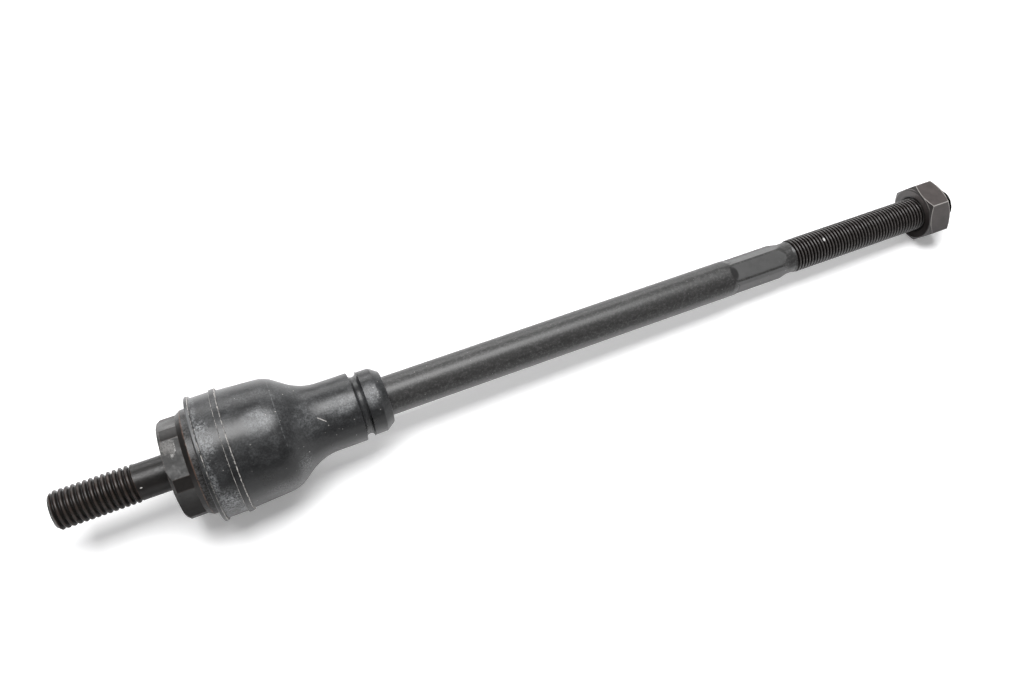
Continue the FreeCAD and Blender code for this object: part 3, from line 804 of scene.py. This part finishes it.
def rubber_dust_and_highlights(f, grit):
    """How much of the pale colour lies on the boot, one value for each patch: dusty patches
    and film, and painted highlights on bulb, waist, neck, end ring and lip.
    """
    land = f.band(LIP_END, LAND_END, 0.15)
    patches = f.most(f.spot((15.0, -4.5, 22.0), (5.5, 11.0, 9.0), 0.9),
                     f.spot((16.5, -21.5, 3.0), (7.5, 8.0, 10.0), 0.8),
                     f.spot((21.0, -22.0, -3.0), (7.0, 5.0, 6.0), 0.8),
                     f.times(f.band(LIP_END, LIP_END + 1.8, 1.2), 0.7))
    thick = f.times(land, patches, f.between(f.noise(190, 5, 0.6), 0.32, 0.60, 0.3, 1.0),
                    f.between(grit, 0.44, 0.56, 0.05, 1.0))
    film = f.times(land, f.between(f.noise(140, 5), 0.4, 0.7), f.between(grit, 0.45, 0.57))
    # A pale dusty film, strongest on top, which also stands as painted highlight on the upper
    # side
    veil_and_highlight = f.times(f.between(f.noise(230, 6, 0.65), 0.38, 0.64, 0.35, 1.0),
                   f.between(f.upward(), 0.3, 1.0, 0.12, 1.0),
                   f.between(grit, 0.42, 0.60, 0.25, 1.0))
    rear = f.times(f.most(f.spot((44.4, -17.9, 3.0), (5.0, 6.0, 8.5), 0.8),
                          f.times(f.spot((34.0, -21.0, 0.0), (9.0, 4.0, 5.0), 0.7), 0.6)),
                   f.between(grit, 0.42, 0.62))
    # Painted highlight: pale mottled patches where the bulb, waist, neck and end ring catch
    # the light
    hazy_sheen = f.times(
        f.most(f.spot((34.0, -5.0, 21.5), (9.0, 8.0, 6.0), 0.9),
               f.times(f.spot((49.0, -5.0, 13.0), (12.0, 13.0, 12.0), 0.9), 0.42),
               f.spot((62.0, -4.5, 12.4), (10.0, 5.5, 5.0), 0.9),
               f.spot((73.5, -4.0, 11.6), (5.0, 7.5, 6.0), 0.95)),
        f.between(f.noise(330, 6, 0.75), 0.38, 0.62, 0.4, 1.0),
        f.between(grit, 0.42, 0.58, 0.4, 1.0))
    # Painted highlight: a pale strip on top of the lip
    lip = f.times(f.band(BOOT_START + 0.3, LIP_END - 0.35, 0.15),
                  f.spot((12.2, 1.0, 23.3), (4.0, 15.0, 11.0), 0.7))
    joint = f.times(f.band(SHOULDER + 0.3, SHOULDER + 0.65, 0.12),
                    f.between(f.noise(1400, 2), 0.46, 0.54), f.along(Z, 10.0, 18.0))
    return [f.times(thick, 0.85), f.times(film, 0.12), f.times(veil_and_highlight, 0.14),
            f.times(rear, 0.30), f.times(hazy_sheen, 0.68), f.times(lip, 0.22),
            f.times(joint, 0.22)]


def bearing_finish(settings):
    """Natural bearing plastic with a film of grease."""
    f = Finish("bearing_plastic", settings.bearing, 0.35)
    place = f.tree.nodes.new("ShaderNodeTexCoord").outputs["Object"]
    film = f.noise(180, 4, place=place)
    tone = f.blend(f.between(film, 0.35, 0.7), tuple(settings.bearing), GREASE)
    return f.finish(tone, f.between(film, 0.3, 0.7, 0.22, 0.42), [(film, 0.1, 0.05)])


def floor_finish(settings, colours):
    """Pale floor that keeps the part's shadow. The camera sees it white all round the part,
    and from below it is clear."""
    f = Finish("pale_floor", colours.floor, 0.9)
    f.sheen(0.1)
    f.shader.inputs["Emission Color"].default_value = (1, 1, 1, 1)
    rays = f.tree.nodes.new("ShaderNodeLightPath").outputs
    seen = f.most(rays["Is Camera Ray"], rays["Is Glossy Ray"], rays["Is Transmission Ray"])
    place = f.tree.nodes.new("ShaderNodeTexCoord").outputs["Object"]
    apart = f.vector("DISTANCE", place, (settings.shadow_middle, 0, 0))
    rise = f.between(apart, settings.shadow_reach, settings.white_reach)
    f.put(f.shader.inputs["Emission Strength"],
          f.math("MULTIPLY_ADD", seen, settings.floor_glow,
                 f.math("MULTIPLY", rise, rays["Is Camera Ray"])))
    sides = f.tree.nodes.new("ShaderNodeMixShader")
    clear = f.tree.nodes.new("ShaderNodeBsdfTransparent")
    geometry = f.tree.nodes.new("ShaderNodeNewGeometry")
    for output, socket in zip((geometry.outputs["Backfacing"], f.shader.outputs[0],
                               clear.outputs[0]), sides.inputs):
        f.link(output, socket)
    f.link(sides.outputs[0], f.tree.nodes["Material Output"].inputs["Surface"])
    return f.material


# Operators

class PieceOperator(bpy.types.Operator):
    """Shared settings of the piece operators."""
    bl_options = {"REGISTER", "UNDO"}

    def settings(self, context):
        return context.scene.tie_rod_thread, context.scene.tie_rod_finish


class TIEROD_OT_housing(PieceOperator):
    """Build the threaded stud, the milled collar, the flange and the ball's cup"""
    bl_idname = "tie_rod.housing"
    bl_label = "Socket housing"

    def execute(self, context):
        sizes, colours = self.settings(context)
        thread_end, seat = STUD_END + STUD_THREAD, COLLAR_FLAT - 1
        shank = divided(rounded([
            (thread_end, SHANK_RADIUS), (0, SHANK_RADIUS, 0.8), (0, seat)]), 2.0)
        collar = divided(np.array([
            (0, seat), (0, COLLAR_RADIUS - COLLAR_EDGE),
            (COLLAR_EDGE, COLLAR_RADIUS), (COLLAR_END, COLLAR_RADIUS)]), 1.0)
        rear = divided(rounded([
            (COLLAR_END, COLLAR_RADIUS), (RAMP_END, FLANGE_RADIUS, 0.15),
            (FLANGE_END, FLANGE_RADIUS, 0.3), (FLANGE_END, GROOVE_RADIUS, 0.2),
            (GROOVE_END, GROOVE_RADIUS, 0.2), (GROOVE_END, FLANGE_RADIUS, 0.2),
            (RIM_END, FLANGE_RADIUS, RIM_ROUND), (RIM_END, RIM_OPENING)]), 1.0)
        bowl = arc_outline(BALL_X, CUP_RADIUS, RIM_ANGLE, 90.0)
        floor = divided(np.array([
            (BALL_X, CUP_RADIUS), (CUP_FLOOR + CUP_CONE, CUP_RADIUS),
            (CUP_FLOOR, CUP_FLOOR_RADIUS), (CUP_FLOOR, 0.0)]), 3.0)
        angles = hexagon_grid([(0, COLLAR_RADIUS)], COLLAR_FLAT, COLLAR_TURN, 9)[0]
        flats = flats_radius(COLLAR_FLAT, COLLAR_TURN)
        rings = np.concatenate([
            spun(shank, angles), spun(collar, hexagon_grid(
                np.maximum(collar, COLLAR_FLAT), COLLAR_FLAT, COLLAR_TURN, 9), flats),
            spun(np.concatenate([rear, bowl, floor[1:]]), angles)])
        screw = threaded_end(STUD_END, thread_end, SHANK_RADIUS, sizes.stud_pitch / MM,
                             sizes.thread_steps, STUD_CHAMFER, STUD_RUN_OUT)
        piece = make_piece("threaded_socket", [skin(rings), *screw], "housing",
                           "socket_housing")
        piece.data.materials.append(forging_finish(colours))
        return {"FINISHED"}


class TIEROD_OT_bearing(PieceOperator):
    """Give the ball's bearing its plastic finish"""
    bl_idname = "tie_rod.bearing"
    bl_label = "Ball bearing shell"

    def execute(self, context):
        _, colours = self.settings(context)
        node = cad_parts["ball_seat"]
        node.data.materials.clear()
        node.data.materials.append(bearing_finish(colours))
        return {"FINISHED"}


class TIEROD_OT_rod(PieceOperator):
    """Build the ball, the rod, its wrench flats and the outer thread"""
    bl_idname = "tie_rod.rod"
    bl_label = "Tie rod"

    def execute(self, context):
        sizes, colours = self.settings(context)
        pole = math.degrees(math.acos((ROD_POLE - BALL_X) / BALL_RADIUS))
        ball = arc_outline(BALL_X, BALL_RADIUS, pole,
                           math.degrees(math.asin(NECK_RADIUS / BALL_RADIUS)), 4.0)
        shaft = divided(rounded([
            tuple(ball[-1]), (NECK_END, NECK_RADIUS, 4.0), (ROD_START, ROD_RADIUS, 4.0),
            (WRENCH_START, ROD_RADIUS)]), 4.0)
        step_start, step_end = (WRENCH_START + step for step in WRENCH_STEP)
        flats = divided(rounded([
            (WRENCH_START, ROD_RADIUS), (step_start, ROD_RADIUS, 0.5),
            (step_end, WRENCH_CORNER, 0.5),
            (WRENCH_END, WRENCH_CORNER, 0.5), (RELIEF_START, RELIEF_RADIUS, 5.0),
            (RELIEF_END, RELIEF_RADIUS)]), 0.25, 0.08)

        def ramp(x, off):
            start = WRENCH_START + WRENCH_SCALLOP * (off / (math.pi / 6)) ** 2
            return ROD_RADIUS - np.maximum(x - start, 0.0) / WRENCH_RAMP

        around = hexagon_grid([(0, WRENCH_CORNER)], WRENCH_FLAT, WRENCH_TURN, 9)[0]
        wrench = spun(flats, around, flats_radius(WRENCH_FLAT, WRENCH_TURN, ramp))
        plain = spun(np.concatenate([[(ROD_POLE, 0.0)], ball, shaft[1:]]), around)
        screw = threaded_end(ROD_END, RELIEF_END, RELIEF_RADIUS, sizes.outer_pitch / MM,
                             sizes.thread_steps, OUTER_CHAMFER, OUTER_RUN_OUT)
        piece = make_piece("ball_rod", [skin(plain), skin(wrench), *screw], "rod",
                           "tie_rod")
        piece.data.materials.append(rod_finish(colours))
        return {"FINISHED"}


class TIEROD_OT_boot(PieceOperator):
    """Build the rubber boot between the housing and the rod"""
    bl_idname = "tie_rod.boot"
    bl_label = "Dust boot"

    def execute(self, context):
        sizes, colours = self.settings(context)
        rib, bulb, shoulder = 23.05, 22.2, 21.2
        groove, ring, end, bore = 11.05, 12.25, 9.9, 7.55
        inside, bead, wall, neck_wall = 19.7, 18.1, 2.2, 2.4
        shoulder_round, waist_round = 12.2, 19.0
        bead_end, inside_end = GROOVE_END - 0.1, BALL_X + 7
        outline = divided(rounded([
            (BOOT_START, bead, 0.2), (BOOT_START, LIP_RADIUS, 0.45),
            (LIP_END, LIP_RADIUS, 0.45), (LIP_END, LAND_RADIUS, 0.2),
            (LAND_END, LAND_RADIUS, 0.12), (LAND_END, rib, 0.15), (RIB_END, rib, 0.15),
            (RIB_END, bulb, 0.12), (SHOULDER, shoulder, shoulder_round),
            (WAIST, SMALL_NECK, waist_round),
            (SMALL_GROOVE, SMALL_NECK, 0.2), (SMALL_GROOVE, groove, 1.5),
            (RING_START, groove, 1.5), (RING_START, ring, 0.2), (RING_END, ring, 0.3),
            (BOOT_END, end, 0.7), (BOOT_END, bore, 0.15), (RING_START, bore, 0.15),
            (SMALL_GROOVE - neck_wall, SMALL_NECK - neck_wall, 0.6),
            (WAIST, SMALL_NECK - neck_wall, waist_round + wall),
            (SHOULDER - wall / 2, shoulder - wall, shoulder_round - wall),
            (inside_end, inside, 1.0), (bead_end, inside, 0.2), (bead_end, bead, 0.2)],
            closed=True),
            1.0, closed=True)
        piece = make_piece("rubber_boot",
                           [skin(spun(outline, full_turn(sizes.turned_steps)), closed=True)],
                           None, "dust_boot")
        piece.data.materials.append(rubber_finish(colours))
        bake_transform(piece)
        return {"FINISHED"}


class TIEROD_OT_nut(PieceOperator):
    """Build the jam nut with its chamfers and countersinks"""
    bl_idname = "tie_rod.nut"
    bl_label = "Jam nut"

    def execute(self, context):
        _, colours = self.settings(context)
        turn = math.radians(90)
        drop, depth = (NUT_CORNER - NUT_FACE) * NUT_SLOPE, (NUT_SINK - NUT_BORE) * NUT_SLOPE
        outline = divided(rounded([
            (NUT_START + depth, NUT_BORE), (NUT_START, NUT_SINK, 0.1),
            (NUT_START, NUT_FACE, 0.15), (NUT_START + drop, NUT_CORNER),
            (NUT_END - drop, NUT_CORNER), (NUT_END, NUT_FACE, 0.15),
            (NUT_END, NUT_SINK, 0.1), (NUT_END - depth, NUT_BORE)],
            closed=True), 0.35, 0.3, closed=True)
        angles = hexagon_grid(np.maximum(outline, NUT_FLAT), NUT_FLAT, turn, 8, 0.016)
        angles[outline[:, 1] < NUT_FLAT] = full_turn(angles.shape[1]) + angles[0][0]
        rings = spun(outline, angles, flats_radius(NUT_FLAT, turn))
        piece = make_piece("hex_jam_nut", [skin(rings, closed=True)], "nut", "jam_nut")
        piece.data.materials.append(nut_finish(colours))
        return {"FINISHED"}


class TIEROD_OT_stage(bpy.types.Operator):
    """Set up the floor, the soft lights and the camera"""
    bl_idname = "tie_rod.stage"
    bl_label = "Studio stage"

    def execute(self, context):
        scene = context.scene
        settings, colours = scene.tie_rod_stage, scene.tie_rod_finish
        scene.view_settings.view_transform = "Standard"
        self.lay_floor(settings, colours)
        self.hang_light("overhead_softbox", (0.12, 0.07, 1.0), (0.9, 0.52),
                        settings.key_power)
        self.hang_light("rear_softbox", (0.15, 1.05, 0.50), (1.6, 0.5),
                        settings.back_power)
        scene.world = self.light_room(settings)
        camera_data = bpy.data.cameras.new("camera")
        camera_data.sensor_width = 36
        camera_data.lens = settings.camera_lens
        camera_data.clip_start = 0.01
        camera = bpy.data.objects.new("camera", camera_data)
        camera.location = settings.camera_place
        camera.rotation_euler = settings.camera_turn
        scene.collection.objects.link(camera)
        scene.camera = camera
        return {"FINISHED"}

    def lay_floor(self, settings, colours):
        """A wide sheet below the boot's lip and the nut's lower flat."""
        reach = FLOOR_REACH * MM
        mesh = bpy.data.meshes.new("studio_floor")
        mesh.from_pydata([(-reach, -reach, 0), (reach, -reach, 0), (reach, reach, 0),
                          (-reach, reach, 0)], [], [(0, 1, 2, 3)])
        floor = bpy.data.objects.new("studio_floor", mesh)
        floor.location = (FLOOR_PIVOT * MM, 0, -(LIP_RADIUS + FLOOR_GAP) * MM)
        floor.rotation_euler = (0, -settings.floor_slope, 0)
        bpy.context.scene.collection.objects.link(floor)
        mesh.materials.append(floor_finish(settings, colours))

    def light_room(self, settings):
        """A world that lights the part evenly, and that the camera sees white."""
        world = bpy.data.worlds.new("studio_room")
        world.use_nodes = True
        nodes, links = world.node_tree.nodes, world.node_tree.links
        background = nodes["Background"]
        background.inputs["Color"].default_value = (1, 1, 1, 1)
        rays = nodes.new("ShaderNodeLightPath")
        level = nodes.new("ShaderNodeMapRange")
        level.inputs["To Min"].default_value = settings.sky
        links.new(rays.outputs["Is Camera Ray"], level.inputs["Value"])
        links.new(level.outputs["Result"], background.inputs["Strength"])
        return world

    def hang_light(self, name, place, size, power):
        """A rectangular softbox that faces the part."""
        light = bpy.data.lights.new(name, "AREA")
        light.shape = "RECTANGLE"
        light.size, light.size_y = size
        light.energy = power
        lamp = bpy.data.objects.new(name, light)
        lamp.location = place
        aim = Vector((PART_MIDDLE * MM, 0, 0)) - Vector(place)
        lamp.rotation_euler = aim.to_track_quat("-Z", "Y").to_euler()
        bpy.context.scene.collection.objects.link(lamp)


class TIEROD_PT_panel(bpy.types.Panel):
    """Lists the pieces, sizes and colours of the tie rod"""
    bl_idname = "TIEROD_PT_panel"
    bl_label = "Inner tie rod"
    bl_space_type = "VIEW_3D"
    bl_region_type = "UI"
    bl_category = "Tie rod"

    def draw(self, context):
        layout = self.layout
        for group in SETTINGS:
            box = layout.box()
            holder = getattr(context.scene, group)
            for name in holder.__annotations__:
                box.prop(holder, name)
        for operator in OPERATORS:
            layout.operator(operator.bl_idname)


SETTINGS = {"tie_rod_thread": ThreadSettings, "tie_rod_finish": FinishSettings,
            "tie_rod_stage": StageSettings}
OPERATORS = (TIEROD_OT_housing, TIEROD_OT_bearing, TIEROD_OT_rod, TIEROD_OT_boot,
             TIEROD_OT_nut, TIEROD_OT_stage)


def register():
    for group in SETTINGS.values():
        bpy.utils.register_class(group)
    for operator in OPERATORS:
        bpy.utils.register_class(operator)
    bpy.utils.register_class(TIEROD_PT_panel)
    for name, group in SETTINGS.items():
        setattr(bpy.types.Scene, name, PointerProperty(type=group))


def unregister():
    for name in SETTINGS:
        delattr(bpy.types.Scene, name)
    bpy.utils.unregister_class(TIEROD_PT_panel)
    for operator in reversed(OPERATORS):
        bpy.utils.unregister_class(operator)
    for group in SETTINGS.values():
        bpy.utils.unregister_class(group)


def main():
    """Build every piece and the stage."""
    register()
    bpy.ops.tie_rod.housing()
    bpy.ops.tie_rod.bearing()
    bpy.ops.tie_rod.rod()
    bpy.ops.tie_rod.boot()
    bpy.ops.tie_rod.nut()
    bpy.ops.tie_rod.stage()


if __name__ == "__main__":
    main()
